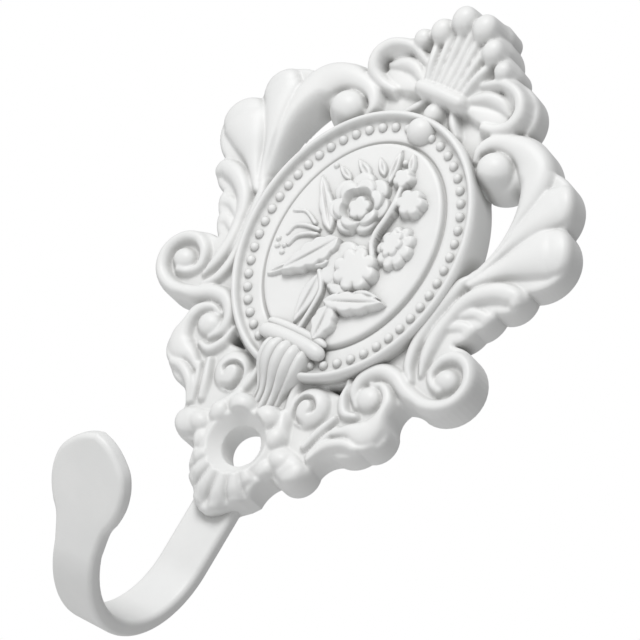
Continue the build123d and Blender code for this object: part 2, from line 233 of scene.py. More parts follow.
def rolled_grid(rows, columns):
    """Four-cornered faces of a grid of points whose last column joins the first."""
    row = np.arange(rows - 1)[:, None] * columns
    column = np.arange(columns)[None, :]
    after = (column + 1) % columns
    corners = np.stack([row + column, row + after, row + columns + after, row + columns + column], -1)
    return corners.reshape(-1, 4)


# Shapes of the relief


def smooth_line(spots, steps=8):
    """Points along a smooth curve through rows of numbers: each row is a cubic of its neighbours."""
    rows = np.array(spots, float)
    padded = np.vstack([2 * rows[0] - rows[1], rows, 2 * rows[-1] - rows[-2]])
    t = np.linspace(0, 1, steps, endpoint=False)[None, :, None]
    p0, p1, p2, p3 = (padded[i:len(rows) - 1 + i, None, :] for i in range(4))
    curve = 0.5 * (2 * p1 + (p2 - p0) * t + (2 * p0 - 5 * p1 + 4 * p2 - p3) * t ** 2
                   + (3 * p1 - p0 - 3 * p2 + p3) * t ** 3)
    return np.vstack([curve.reshape(-1, rows.shape[1]), rows[-1:]])


def nearest(x, z, line):
    """Distance to a line of points, and the line's other columns at the nearest place."""
    start, end = line[:-1], line[1:]
    run = end[:, :2] - start[:, :2]
    length = np.maximum((run ** 2).sum(1), 1e-9)
    off_x, off_z = x[:, None] - start[:, 0], z[:, None] - start[:, 1]
    part = np.clip((off_x * run[:, 0] + off_z * run[:, 1]) / length, 0, 1)
    gap = np.hypot(off_x - part * run[:, 0], off_z - part * run[:, 1])
    which = gap.argmin(1)
    rows = np.arange(len(x))
    share = part[rows, which][:, None]
    return gap[rows, which], start[which, 2:] + share * (end[which, 2:] - start[which, 2:])


def beside_line(x, z, spots):
    """Points close to a smooth line through (x, z, half width, level).

    Gives which they are, their distance as a share of the half width, and the half width and level.
    """
    line = smooth_line(spots)
    reach = line[:, 2].max() + 0.1
    close = ((x > line[:, 0].min() - reach) & (x < line[:, 0].max() + reach)
             & (z > line[:, 1].min() - reach) & (z < line[:, 1].max() + reach))
    gap, wide = nearest(x[close], z[close], line)
    return close, np.clip(gap / np.maximum(wide[:, 0], 0.05), 0, 1), wide[:, 0], wide[:, 1]


def raise_strand(height, x, z, spots, floor=WEB_HEIGHT):
    """Rounded strand through (x, z, half width, crest): across it, half an oval over its sides."""
    close, share, half, crest = beside_line(x, z, spots)
    edge = np.maximum(crest - STRAND_DEPTH * half, floor)
    lift = edge + (crest - edge) * np.sqrt(np.clip(1 - share ** 2, 0, 1))
    height[close] = np.maximum(height[close], np.where(share < 1, lift, 0))


def raise_dome(height, x, z, spot, radii, crest, floor=WEB_HEIGHT, fullness=2):
    """Round or oval dome: the root of 1 less the share of the radius to a power, over a floor."""
    share = np.hypot((x - spot[0]) / radii[0], (z - spot[1]) / radii[1])
    lift = floor + (crest - floor) * np.sqrt(np.clip(1 - share ** fullness, 0, 1))
    np.copyto(height, np.maximum(height, np.where(share < 1, lift, 0)))


def raise_petals(height, x, z, spot, radii, petals, top, turn, notch=0.12):
    """Flower seen from the front: an oval plate, its edge scalloped by a half wave for each petal.

    The plate's edge is a quarter round, and a cut runs in from each notch between two petals.
    """
    dx, dz = (x - spot[0]) / radii[0], (z - spot[1]) / radii[1]
    wave = np.abs(np.cos((np.arctan2(dz, dx) - math.radians(turn)) * petals / 2)) ** 0.7
    share = np.hypot(dx, dz) / (1 - notch + notch * wave)
    edge = np.clip((1 - share) * min(radii) / PETAL_EDGE, 0, 1)
    cut = PETAL_CUT * (1 - wave) * np.clip(3 * share - 1.9, 0, 1)
    lift = CAMEO_HEIGHT + (top - CAMEO_HEIGHT) * (np.sqrt(1 - (1 - edge) ** 2) - cut)
    np.copyto(height, np.maximum(height, np.where(share < 1, lift, 0)))


def sink_heart(height, x, z, spot, radii, petals, floor, turn):
    """Hollow in the middle of a flower: an oval scalloped as petals are, its sides sloping to a floor."""
    dx, dz = (x - spot[0]) / radii[0], (z - spot[1]) / radii[1]
    wave = np.abs(np.cos((np.arctan2(dz, dx) - math.radians(turn)) * petals / 2))
    share = np.hypot(dx, dz) / (0.85 + 0.15 * wave)
    slope = np.clip((1 - share) * 3.5, 0, 1)
    np.copyto(height, np.where(share < 1, np.minimum(height, height * (1 - slope) + floor * slope), height))


def raise_leaf(height, x, z, start, end, wide, top, teeth):
    """Leaf from a start to a tip: its half width is a skewed half wave, with a smaller wave for teeth.

    Its edge is a quarter round, and a thin groove along the middle is the midrib.
    """
    run = np.subtract(end, start)
    length = math.hypot(*run)
    off_x, off_z = x - start[0], z - start[1]
    along = (off_x * run[0] + off_z * run[1]) / length ** 2
    across = np.abs(off_x * run[1] - off_z * run[0]) / length
    part = np.clip(along, 0, 1)
    half = wide * np.sin(math.pi * part ** 0.75) ** 0.8
    half = half * (0.84 + 0.16 * np.abs(np.sin(teeth * math.pi * part))) if teeth else half
    edge = np.clip((half - across) / LEAF_EDGE, 0, 1)
    rib = MIDRIB_DEPTH * np.exp(-(across / MIDRIB_HALF) ** 2) * np.sin(math.pi * part)
    lift = CAMEO_HEIGHT + (top - CAMEO_HEIGHT) * np.sqrt(1 - (1 - edge) ** 2) - rib
    np.copyto(height, np.maximum(height, np.where((half > across) & (along > 0) & (along < 1), lift, 0)))


def cut_groove(height, x, z, spots):
    """Groove along (x, z, half width, depth): across it, a parabola that is deepest in the middle."""
    close, share, _, deep = beside_line(x, z, spots)
    height[close] -= deep * (1 - share ** 2)


def arcs(turns, steps=20):
    """Points along arcs, each given by its start, a point on the way and its end.

    The three points are complex numbers, and their circle's centre follows from them.
    """
    found = []
    for start, middle, end in turns:
        a, b, c = complex(*start), complex(*middle), complex(*end)
        w = (c - a) / (b - a)
        centre = a + (b - a) * (w - abs(w) ** 2) / (2j * w.imag)
        first, via, last = np.angle(a - centre), np.angle(b - centre), np.angle(c - centre)
        sweep = (last - first) % (2 * math.pi)
        if (via - first) % (2 * math.pi) > sweep:
            sweep -= 2 * math.pi
        way = centre + abs(a - centre) * np.exp(1j * (first + sweep * np.arange(steps) / steps))
        found.append(np.stack([way.real, way.imag], -1))
    return np.vstack(found)


def inside_depth(x, z, loop):
    """Distance to a closed loop, above 0 inside it and below 0 outside.

    A point is inside if a level line from it crosses the loop an odd number of times.
    """
    closed = np.vstack([loop, loop[:1]])
    start, end = closed[:-1], closed[1:]
    depth = np.empty(len(x))
    for part in np.array_split(np.arange(len(x)), max(1, len(x) * len(start) // 4_000_000)):
        gap, _ = nearest(x[part], z[part], closed)
        above = (start[:, 1] > z[part][:, None]) != (end[:, 1] > z[part][:, None])
        rise = np.where(end[:, 1] == start[:, 1], 1e-9, end[:, 1] - start[:, 1])
        cross = start[:, 0] + (z[part][:, None] - start[:, 1]) / rise * (end[:, 0] - start[:, 0])
        inner = (above & (x[part][:, None] < cross)).sum(1) % 2 == 1
        depth[part] = np.where(inner, gap, -gap)
    return depth


# The openwork plaque

# Outline of the right half from the top down: each lobe is an arc through its start, middle and end
LOBES = [
    ((0, 33.3), (1.9, 34.4), (3.7, 32.4)), ((3.7, 32.4), (5.1, 31.3), (5.8, 30.2)),
    ((5.8, 30.2), (7.3, 29.5), (8.1, 28.0)), ((8.1, 28.0), (12.3, 26.0), (13.0, 22.2)),
    ((13.0, 22.2), (16.6, 21.5), (19.2, 19.2)), ((19.2, 19.2), (23.4, 17.4), (24.6, 13.1)),
    ((24.6, 13.1), (27.5, 9.9), (24.8, 3.8)), ((24.8, 3.8), (24.7, 1.8), (22.3, -0.3)),
    ((22.3, -0.3), (22.0, -1.9), (21.0, -3.3)), ((21.0, -3.3), (20.4, -4.8), (19.4, -5.9)),
    ((19.4, -5.9), (25.1, -10.2), (19.7, -15.5)), ((19.7, -15.5), (18.3, -15.3), (17.1, -15.6)),
    ((17.1, -15.6), (16.7, -17.2), (17.4, -19.0)), ((17.4, -19.0), (17.6, -21.2), (15.7, -23.2)),
    ((15.7, -23.2), (14.4, -24.5), (12.4, -25.1)), ((12.4, -25.1), (11.1, -26.1), (10.4, -27.6)),
    ((10.4, -27.6), (9.9, -30.2), (6.3, -30.9)), ((6.3, -30.9), (5.4, -32.3), (5.1, -34.2)),
]
# The outline's foot, round the shell, and the two openings of the right half
SHELL_EDGE = [(5.1, -34.2), (4.3, -35.2), (3.2, -36.1), (2.0, -37.4), (0.9, -38.2), (0, -38.4)]
SIDE_OPENING = [
    ((15.7, 3.2), (17.3, 9.3), (15.6, 15.2)), ((15.6, 15.2), (14.2, 13.8), (11.4, 13.1)),
    ((11.4, 13.1), (13.8, 8.2), (15.7, 3.2)),
]
SMALL_OPENING = np.array([(7.0, -17.5), (9.0, -17.6), (9.0, -16.4)])
# The plaque ends under the medallion's rim, this far in from it
RIM_LAP = 0.5
# Beside the side openings the leaves slope down, over this width and by this much
FLANK, FLANK_DROP = 2.0, 3.0
# The walls of the side openings lean back under the leaves by this much, but upright this near to the
# oval and to the outline, and fully only past the fade
UNDERCUT = 1.9
UPRIGHT_BY_OVAL, UPRIGHT_BY_OUTLINE, LEAN_FADE = 0.3, 2.6, 3.2
# The rings of points down a wall, as shares of its height
WALL_LEVELS = (0.8, 0.55, 0.25, 0.0)
# Radius of the rounded edge, which is left off this near to the oval and to the bore
EDGE_ROUND, SHARP_BY_OVAL, SHARP_BY_BORE = 0.8, 0.7, 1.6
# The square grid that the plaque is worked out on
GRID_STEP, GRID_SIDE, GRID_FOOT, GRID_TOP = 0.138, 28.05, -38.7, 34.95

# Strands of the right half, as (x, z, half width, crest)
STRANDS = [
    [(17.0, 2.4, 0.5, 4.9), (17.9, 8.0, 0.85, 5.1), (18.4, 12.0, 1.3, 5.2), (18.1, 15.5, 2.0, 5.3),
     (16.9, 18.4, 2.4, 5.3), (14.4, 19.9, 2.0, 5.4), (11.6, 20.0, 1.5, 5.3), (9.6, 19.2, 1.2, 5.2),
     (8.6, 17.7, 0.9, 5.0), (8.7, 16.3, 0.6, 4.7)],
    [(17.4, 3.0, 0.45, 4.9), (19.2, 8.2, 1.05, 5.1), (20.8, 12.0, 1.9, 5.3), (22.0, 14.9, 2.7, 5.2),
     (22.6, 15.8, 2.5, 5.1)],
    [(17.4, 1.6, 0.5, 4.9), (20.0, 4.9, 1.3, 5.1), (22.2, 7.2, 2.5, 5.4), (24.0, 9.0, 3.3, 5.4),
     (24.9, 9.7, 3.1, 5.2)],
    [(16.9, -4.6, 0.8, 5.0), (17.5, -1.6, 1.0, 5.1), (18.9, 0.7, 1.2, 5.2), (21.2, 2.3, 1.35, 5.2),
     (23.2, 2.6, 1.3, 5.0), (24.3, 1.9, 0.9, 4.6)],
    [(17.8, -2.4, 0.7, 4.5), (19.8, -1.2, 0.75, 4.4), (22.0, -1.4, 0.7, 4.0)],
    [(17.5, -4.2, 0.7, 4.5), (19.2, -3.4, 0.75, 4.3), (20.9, -4.1, 0.65, 3.9)],
    [(17.0, -3.2, 0.9, 5.0), (16.7, -6.0, 1.0, 5.1), (17.0, -9.0, 0.8, 5.0), (17.7, -11.2, 0.35, 4.6)],
    [(16.7, 3.4, 0.7, 5.0), (15.9, 0.0, 1.0, 5.2), (15.2, -4.0, 0.95, 5.2), (14.9, -8.0, 0.85, 5.1),
     (15.6, -10.9, 0.7, 5.0), (16.9, -12.4, 0.4, 4.8)],
    [(12.0, -18.2, 0.4, 4.6), (10.8, -16.6, 0.8, 5.0), (10.9, -14.6, 1.0, 5.2), (12.5, -12.9, 1.15, 5.3),
     (14.8, -12.8, 1.15, 5.3), (17.5, -14.0, 1.1, 5.3), (20.8, -14.5, 1.15, 5.3),
     (23.6, -13.1, 1.2, 5.3), (24.5, -10.4, 1.15, 5.3), (23.3, -8.0, 1.0, 5.2),
     (21.2, -7.3, 0.9, 5.1), (19.4, -8.4, 0.8, 5.0), (18.9, -10.4, 0.65, 4.8), (19.9, -11.7, 0.6, 4.9),
     (21.2, -12.0, 0.7, 5.0)],
    [(12.3, -14.9, 0.4, 4.5), (13.9, -14.5, 0.65, 4.9), (15.4, -15.5, 0.85, 5.1), (16.0, -17.4, 1.0, 5.2),
     (15.8, -19.6, 1.5, 5.2), (14.8, -20.9, 1.9, 5.2), (12.8, -21.4, 1.0, 5.0), (10.6, -22.8, 0.35, 4.6)],
    [(9.3, -15.6, 0.4, 4.7), (9.7, -17.8, 0.65, 4.9), (11.0, -19.6, 0.7, 4.9), (12.6, -19.4, 0.5, 4.8)],
    [(9.8, -26.8, 0.4, 4.6), (11.1, -24.4, 0.8, 5.0), (13.2, -23.1, 0.85, 5.0), (15.4, -22.9, 0.7, 4.7),
     (16.6, -21.6, 0.5, 4.4)],
    [(10.2, -20.8, 0.5, 4.8), (9.2, -23.2, 0.65, 4.9), (8.4, -25.6, 0.5, 4.7)],
    [(11.2, -21.7, 0.4, 4.7), (10.3, -23.8, 0.5, 4.7), (9.5, -26.4, 0.4, 4.5)],
    [(4.0, -27.3, 1.3, 4.9), (6.2, -28.1, 1.6, 5.0), (8.0, -28.8, 1.9, 5.2), (8.6, -29.1, 1.85, 5.1)],
    [(2.9, -17.0, 0.6, 5.0), (3.3, -20.6, 0.7, 4.8), (4.1, -23.2, 0.8, 4.7), (5.0, -26.2, 0.9, 4.7)],
    [(4.2, 25.4, 0.6, 5.4), (7.2, 26.6, 0.8, 6.1), (10.0, 26.0, 0.9, 6.3), (11.4, 24.1, 0.95, 6.2),
     (11.0, 22.0, 0.95, 5.9), (9.2, 20.9, 0.85, 5.3), (7.2, 20.7, 0.75, 4.8)],
    [(3.8, 23.2, 0.8, 5.2), (5.8, 24.4, 1.1, 5.3), (7.8, 24.5, 1.1, 5.0), (9.6, 23.6, 0.6, 4.4)],
    [(4.0, 22.0, 0.8, 4.9), (6.2, 22.2, 1.4, 4.5), (8.6, 22.4, 1.3, 4.1)],
    [(1.9, 21.4, 0.5, 4.8), (3.0, 19.6, 0.7, 4.9), (4.2, 18.2, 0.6, 4.6)],
]
# Domes of the right half, as (x, z, radius across, radius along, crest)
DOMES = [
    (1.65, 32.0, 1.75, 2.0, 8.4), (4.1, 29.7, 1.55, 1.75, 7.7), (6.4, 28.0, 1.3, 1.4, 6.8),
    (11.8, 16.2, 2.5, 2.45, 6.2), (21.4, -10.5, 1.7, 1.6, 5.4), (13.0, -16.7, 1.75, 1.7, 5.3),
    (6.3, -20.8, 2.6, 2.8, 5.4), (2.1, -24.3, 1.9, 1.7, 6.3), (5.2, -30.2, 1.3, 1.6, 5.2),
    (4.6, -26.2, 1.3, 1.6, 5.9), (6.6, -28.4, 1.8, 1.5, 5.6), (5.0, -32.6, 1.3, 1.5, 4.8),
]
# Rolled edge that joins the knobs of the crest, as a strand
CREST_EDGE = [(0.5, 32.7, 1.0, 6.9), (3.6, 30.9, 1.1, 6.4), (6.0, 28.7, 1.2, 5.8), (8.3, 26.6, 1.3, 5.4),
              (10.6, 25.3, 1.3, 5.2)]
# Stems of the crest, as (x at the foot, x at the head, z at the head, crest)
STEM_FOOT = 23.0
STEMS = [(0.0, 0.0, 31.6, 7.0), (0.95, 1.35, 30.6, 6.9), (1.9, 2.7, 29.6, 6.6), (2.8, 4.2, 28.2, 6.1)]
# Hollow beside the bow, as (x, z, reach across, reach along, depth)
BOW_HOLLOW = (7.6, 20.6, 5.6, 5.2, 0.7)
# Plate under the stems and knob under the bow's tie, as (place, radii, crest), and the tie as a strand
CREST_PLATE = ((0, 27.2), (5.4, 6.6), 5.5)
CREST_PLATE_FOOT = 3.9
TIE_KNOB = ((0, 19.6), (1.5, 2.0), 5.8)
TIE = [(0, 22.1, 1.15, 6.7), (3.0, 22.1, 1.1, 6.5)]
# Screw hole: radius of the bore, radius of the sink's mouth, and the sink's height at its foot and mouth
HOLE, SINK, SINK_FOOT, SINK_TOP = 2.7, 4.2, 3.47, 5.3
# Collar round the hole: its height, where it starts to fall, over what width, by how much, and its reach
COLLAR_TOP, COLLAR_START, COLLAR_SPREAD, COLLAR_FALL, COLLAR_REACH = 5.2, 4.3, 2.4, 1.3, 6.5
# Strand from the cup's foot down to the collar
STREAM = [(3.6, -23.0, 0.7, 5.0), (4.3, -24.6, 0.85, 5.3), (4.9, -26.4, 1.1, 5.4)]
# Rays of the shell, as (degrees from straight down, length from the hole), with each ray's start, half
# widths and crests from its root to its end
SHELL_RAYS = [(9.5, 9.3), (29, 8.2), (48, 7.2)]
RAY_START, RAY_HALVES, RAY_CRESTS, RAY_FLOOR = 4.0, (0.8, 1.15, 1.35), (5.5, 5.3, 4.6), 2.6
# Groove of the spiral beside the cup, as (x, z, half width, depth)
RING_SPIRAL = [(6.9, -21.7, 0.2, 0.3), (7.2, -20.8, 0.3, 0.9), (6.4, -19.9, 0.32, 1.0),
               (5.2, -20.1, 0.36, 1.1), (4.7, -21.4, 0.36, 1.1), (5.2, -22.8, 0.34, 1.0),
               (6.6, -23.2, 0.25, 0.6)]


def openwork_height(x, z):
    """Height of the leaves, scrolls, crest and seat: the highest of all shapes over the web.

    The shapes are those of the right half, read at the distance from the middle line.
    """
    side = np.abs(x)
    across, along, wide, tall, deep = BOW_HOLLOW
    hollow = np.clip(1 - ((side - across) / wide) ** 2 - ((z - along) / tall) ** 2, 0, 1)
    height = WEB_HEIGHT - deep * np.minimum(1, 3 * hollow)
    raise_dome(height, side, z, *CREST_PLATE, CREST_PLATE_FOOT, fullness=5)
    for spots in STRANDS:
        raise_strand(height, side, z, spots)
    for across, along, wide, tall, crest in DOMES:
        raise_dome(height, side, z, (across, along), (wide, tall), crest, max(WEB_HEIGHT, crest - wide))
    for foot, head, top, crest in STEMS:
        middle = ((foot + head) / 2, (STEM_FOOT + top) / 2, 0.58, 6.3)
        raise_strand(height, side, z, [(foot, STEM_FOOT, 0.5, 5.7), middle, (head, top, 0.74, crest)], 5.0)
    raise_strand(height, side, z, CREST_EDGE)
    raise_strand(height, side, z, TIE)
    raise_dome(height, x, z, *TIE_KNOB)
    raise_seat(height, x, z)
    return height


def raise_seat(height, x, z):
    """Spirals, streams and collar round the hole, the rays of the shell below it, and the conical sink."""
    side = np.abs(x)
    for turn in (1, -1):
        cut_groove(height, x * turn, z, RING_SPIRAL)
    raise_strand(height, side, z, STREAM)
    reach = np.hypot(x, z + RING_RISE)
    collar = COLLAR_TOP - np.clip((reach - COLLAR_START) / COLLAR_SPREAD, 0, 1) * COLLAR_FALL
    np.copyto(height, np.maximum(height, np.where(reach < COLLAR_REACH, collar, 0)))
    for angle, length in SHELL_RAYS:
        way = math.radians(angle)
        reaches = (RAY_START, (RAY_START + length) / 2, length - 1.0)
        raise_strand(height, side, z, [
            (math.sin(way) * out, -RING_RISE - math.cos(way) * out, half, crest)
            for out, half, crest in zip(reaches, RAY_HALVES, RAY_CRESTS)], RAY_FLOOR)
    sink = SINK_FOOT + (reach - HOLE) * (SINK_TOP - SINK_FOOT) / (SINK - HOLE)
    np.copyto(height, np.where(reach < SINK, np.minimum(height, sink), height))


def plaque_distances(across, rise):
    """Distances to the outline, oval, bore, side and small openings, above 0 on the side of the metal."""
    x, z = across.ravel(), rise.ravel()
    side = np.abs(x)
    wide, tall = RIM_X - RIM_LAP, RIM_Z - RIM_LAP
    beyond_middle = [(-2, SHELL_EDGE[-1][1]), (-2, LOBES[0][0][1])]
    found = (inside_depth(side, z, np.vstack([arcs(LOBES), SHELL_EDGE, beyond_middle])),
             (np.hypot(x / wide, z / tall) - 1) * wide,
             np.hypot(x, z + RING_RISE) - HOLE,
             -inside_depth(side, z, arcs(SIDE_OPENING)),
             -inside_depth(side, z, SMALL_OPENING))
    return [distance.reshape(across.shape) for distance in found]


def metal_cells(depth):
    """Cells with their middle in the metal, padded by one, with none that meet at a corner alone."""
    middle = (depth[:-1, :-1] + depth[1:, :-1] + depth[:-1, 1:] + depth[1:, 1:]) / 4
    kept = np.pad(middle > 0, 1)
    here, before, below, both = kept[1:-1, 1:-1], kept[1:-1, :-2], kept[:-2, 1:-1], kept[:-2, :-2]
    for _ in range(3):
        before |= here & both & ~before & ~below
        here |= ~here & ~both & before & below
    return kept


def moved_to_edge(across, rise, depth, rim):
    """Rim points moved down the slope of the depth, by the depth over the slope squared."""
    slope_z, slope_x = np.gradient(depth, GRID_STEP)
    steep = np.maximum(np.hypot(slope_x, slope_z), 0.3)
    furthest = 1.2 * GRID_STEP
    shift = np.where(rim, np.clip(depth, -furthest, furthest), 0) / steep ** 2
    return across - shift * slope_x, rise - shift * slope_z


def softened_relief(across, rise, used):
    """Height of the openwork on the metal and two points round it, blurred twice by weights 1, 2, 1."""
    near = np.pad(used, 2)
    shifts = [(i, j) for i in (-2, 0, 2) for j in (-2, 0, 2)]
    near = np.stack([np.roll(near, shift, (0, 1)) for shift in shifts]).any(0)[2:-2, 2:-2]
    relief = np.zeros(across.shape)
    relief[near] = openwork_height(across[near], rise[near])
    for _ in range(2):
        for axis in (0, 1):
            relief = (np.roll(relief, 1, axis) + 2 * relief + np.roll(relief, -1, axis)) / 4
    return relief


def quarter_round(radius, gap):
    """How far a quarter round of a radius falls at a gap from its edge: all of it at the edge itself."""
    return radius - np.sqrt(radius ** 2 - np.clip(radius - gap, 0, radius) ** 2)


def plaque_faces(kept, used):
    """Four-cornered faces of the kept cells, and their sides where the next cell is not kept."""
    number = np.full(used.shape, -1)
    number[used] = np.arange(used.sum())
    low, left = np.nonzero(kept[1:-1, 1:-1])
    corner = [number[low, left], number[low, left + 1], number[low + 1, left + 1], number[low + 1, left]]
    sides = []
    for i, (dz, dx) in enumerate(((-1, 0), (0, 1), (1, 0), (0, -1))):
        bare = ~kept[low + 1 + dz, left + 1 + dx]
        sides.append(np.stack([corner[i][bare], corner[(i + 1) % 4][bare]], -1))
    return np.stack(corner, -1), np.vstack(sides)


def wall_lean(x, z, room):
    """How far the foot of a side opening's wall leans back: out from the middle, less in little room."""
    middle_x, middle_z = arcs(SIDE_OPENING).mean(0)
    way_x, way_z = np.abs(x) - middle_x, z - middle_z
    lean = UNDERCUT * np.clip(room / LEAN_FADE, 0, 1) / np.maximum(np.hypot(way_x, way_z), 1)
    return lean * np.sign(x) * way_x, lean * way_z


def build_plaque():
    """Height field on a square grid: cells in the metal are kept, and walls go down to the flat back.

    Rim points move onto the outline. Beside the side openings and along the edges the height falls as
    a quarter round does.
    """
    across, rise = np.meshgrid(np.arange(-GRID_SIDE, GRID_SIDE, GRID_STEP),
                               np.arange(GRID_FOOT, GRID_TOP, GRID_STEP))
    outline, oval, bore, opening, small = plaque_distances(across, rise)
    depth = np.minimum.reduce([outline, oval, bore, opening, small])
    kept = metal_cells(depth)
    around = np.stack([kept[:-1, :-1], kept[1:, :-1], kept[:-1, 1:], kept[1:, 1:]])
    used = around.any(0)
    rim = used & ~around.all(0)
    x, z = (place[used] for place in moved_to_edge(across, rise, depth, rim))
    gap = np.where(rim & (np.abs(opening) < 2 * GRID_STEP), 0, opening)[used]
    inward = np.where(rim, 0, np.maximum(depth, 0))[used]
    sharp = (oval[used] < SHARP_BY_OVAL) | (bore[used] < SHARP_BY_BORE)
    height = softened_relief(across, rise, used)[used]
    height = height - FLANK_DROP / FLANK * quarter_round(FLANK, gap)
    height = height - np.where(sharp, 0, quarter_round(EDGE_ROUND, inward))
    top, sides = plaque_faces(kept, used)
    ring, ends = np.unique(sides, return_inverse=True)
    first, second = ends.reshape(sides.shape).T
    room = np.minimum(oval - UPRIGHT_BY_OVAL, outline - UPRIGHT_BY_OUTLINE)[used]
    lean_x, lean_z = wall_lean(x[ring], z[ring], np.where(gap == 0, room, 0)[ring])
    points, faces, above = [stand_up(x, z, height)], [top], ring
    for i, level in enumerate(WALL_LEVELS):
        below = len(x) + i * len(ring) + np.arange(len(ring))
        points.append(stand_up(x[ring] + (1 - level) * lean_x, z[ring] + (1 - level) * lean_z,
                               height[ring] * level))
        faces.append(np.stack([above[first], below[first], below[second], above[second]], -1))
        above = below
    make_piece("openwork_plaque", np.vstack(points), np.vstack(faces))


# The medallion and what lies on it

# The frame of the medallion from outside in, as (inset from the rim, height)
FRAME_PROFILE = [
    (0.0, BACK_GAP), (0.0, 1.5), (0.0, 3.0), (0.0, 4.3), (0.02, 5.0), (0.1, 5.45), (0.25, 5.78),
    (0.45, 5.96), (0.62, 6.0), (0.8, 5.94), (0.95, 5.74), (1.06, 5.4), (1.16, 5.1), (1.32, 4.93),
    (1.8, 4.86), (2.4, 4.86), (3.0, 4.86), (3.6, 4.88), (3.98, 4.86), (4.12, 4.76), (4.22, 4.58),
    (4.34, 4.5), (4.44, 4.6), (4.52, 4.92), (4.6, 5.16), (4.72, 5.32), (4.88, 5.4), (5.1, 5.42),
]
CAMEO_INSET, CAMEO_HEIGHT = FRAME_PROFILE[-1]
RIM_POINTS, CAMEO_RINGS = 800, 90
# Width of the rounded edge of petals and leaves, depth of the cuts between petals, and the midribs
PETAL_EDGE, LEAF_EDGE, PETAL_CUT = 0.5, 0.5, 0.4
MIDRIB_DEPTH, MIDRIB_HALF = 0.3, 0.16
# Stalks and fern fronds start just under the face of the cameo
STALK_FLOOR = CAMEO_HEIGHT - 0.05

# Leaves of the bouquet, as (start, tip, half width, height, teeth)
UNDER_LEAVES = [
    ((-3.4, 0.2), (-9.1, 6.6), 1.15, 6.2, 3), ((-1.5, -5.0), (-1.3, -12.4), 1.25, 6.1, 0),
    ((0.5, 8.8), (-0.5, 13.6), 0.7, 6.3, 0), ((2.5, 11.0), (1.1, 13.9), 0.6, 6.2, 0),
    ((-2.4, 8.6), (-5.6, 10.3), 0.7, 6.1, 0), ((-4.8, 7.4), (-7.6, 8.6), 0.55, 6.0, 0),
    ((-6.0, -5.6), (-8.7, -8.2), 0.65, 6.1, 2), ((-0.8, 9.6), (-3.0, 11.6), 0.6, 6.0, 0),
]
OVER_LEAVES = [
    ((-1.3, -0.2), (-6.6, -7.2), 2.0, 6.8, 5), ((-1.1, -3.4), (-3.4, -4.9), 0.75, 6.6, 0),
    ((1.2, -8.4), (9.1, -5.4), 1.6, 6.8, 4), ((2.4, -8.4), (2.9, -13.6), 1.75, 6.6, 3),
    ((4.2, -6.0), (8.0, -5.0), 0.9, 6.6, 0),
]
# Flowers, as (middle, radii, petals, height, turn in degrees), and the rose's hollow with its floor
ROSE_LAYERS = [
    ((-1.7, 5.0), (4.4, 4.4), 7, 6.35, 10), ((-1.6, 4.8), (3.6, 3.6), 6, 6.95, 35),
]
ROSE_NOTCH = 0.16
ROSE_HEART = ((-1.5, 4.6), (2.5, 2.5), 5, 5.8, 15)
FLOWERS = [
    ((-1.2, 4.4), (1.75, 1.8), 5, 6.7, 40), ((1.5, -3.1), (3.9, 3.7), 7, 6.2, 20),
    ((2.9, -3.0), (3.15, 3.1), 8, 7.0, 5), ((6.1, 1.7), (2.5, 3.1), 9, 6.4, 0),
    ((5.7, 1.9), (1.6, 2.2), 7, 6.8, 12), ((4.9, 7.6), (2.1, 2.0), 6, 6.8, 20),
    ((2.1, 10.1), (1.5, 1.5), 5, 6.7, 10), ((2.0, -6.2), (1.9, 0.9), 4, 6.5, 0),
]
# Stalks and fern fronds, as (x, z, half width, crest)
ROSE_STEM = [(2.6, 8.8, 0.35, 6.6), (3.1, 6.6, 0.45, 6.9), (3.1, 4.6, 0.42, 6.9), (2.9, 2.4, 0.42, 6.9),
             (3.2, 0.8, 0.42, 6.9), (4.2, -0.6, 0.4, 6.9)]
BOUQUET_STRANDS = [
    [(-10.0, 0.9, 0.22, 5.7), (-8.3, 1.4, 0.25, 5.75), (-6.2, 0.5, 0.3, 5.9)],
    [(-9.1, -2.2, 0.22, 5.7), (-8.6, -0.8, 0.28, 5.8), (-7.0, -0.2, 0.3, 5.9), (-5.2, -0.1, 0.3, 6.0)],
    [(-8.1, -3.4, 0.22, 5.8), (-7.6, -2.0, 0.28, 5.9), (-6.2, -1.1, 0.3, 6.0), (-5.0, -0.8, 0.3, 6.1)],
    [(-1.7, -5.0, 0.34, 6.4), (-0.5, -6.4, 0.36, 6.4), (0.1, -8.0, 0.36, 6.4), (0.0, -12.6, 0.34, 6.3)],
]
# Dots of the fern and small buds, as (place, radius, crest)
BUDS = [
    ((-9.9, -3.2), 0.38, 5.8), ((-9.5, -4.1), 0.38, 5.8), ((-8.6, -3.7), 0.34, 5.8),
    ((-8.4, -4.6), 0.38, 5.8), ((-8.0, 8.4), 0.4, 5.8), ((0.9, 12.2), 0.5, 6.1),
    ((3.2, 5.6), 0.6, 6.9), ((3.0, 0.9), 0.6, 6.9),
]


def raise_bouquet(height, x, z):
    """Fern and stalks, lower leaves, the rose with its hollow, then the leaves and flowers over them."""
    for spots in BOUQUET_STRANDS:
        raise_strand(height, x, z, spots, STALK_FLOOR)
    for leaf in UNDER_LEAVES:
        raise_leaf(height, x, z, *leaf)
    for flower in ROSE_LAYERS:
        raise_petals(height, x, z, *flower, notch=ROSE_NOTCH)
    sink_heart(height, x, z, *ROSE_HEART)
    for leaf in OVER_LEAVES:
        raise_leaf(height, x, z, *leaf)
    for flower in FLOWERS:
        raise_petals(height, x, z, *flower)
    raise_strand(height, x, z, ROSE_STEM, STALK_FLOOR)
    for spot, reach, crest in BUDS:
        raise_dome(height, x, z, spot, (reach, reach), crest, CAMEO_HEIGHT)


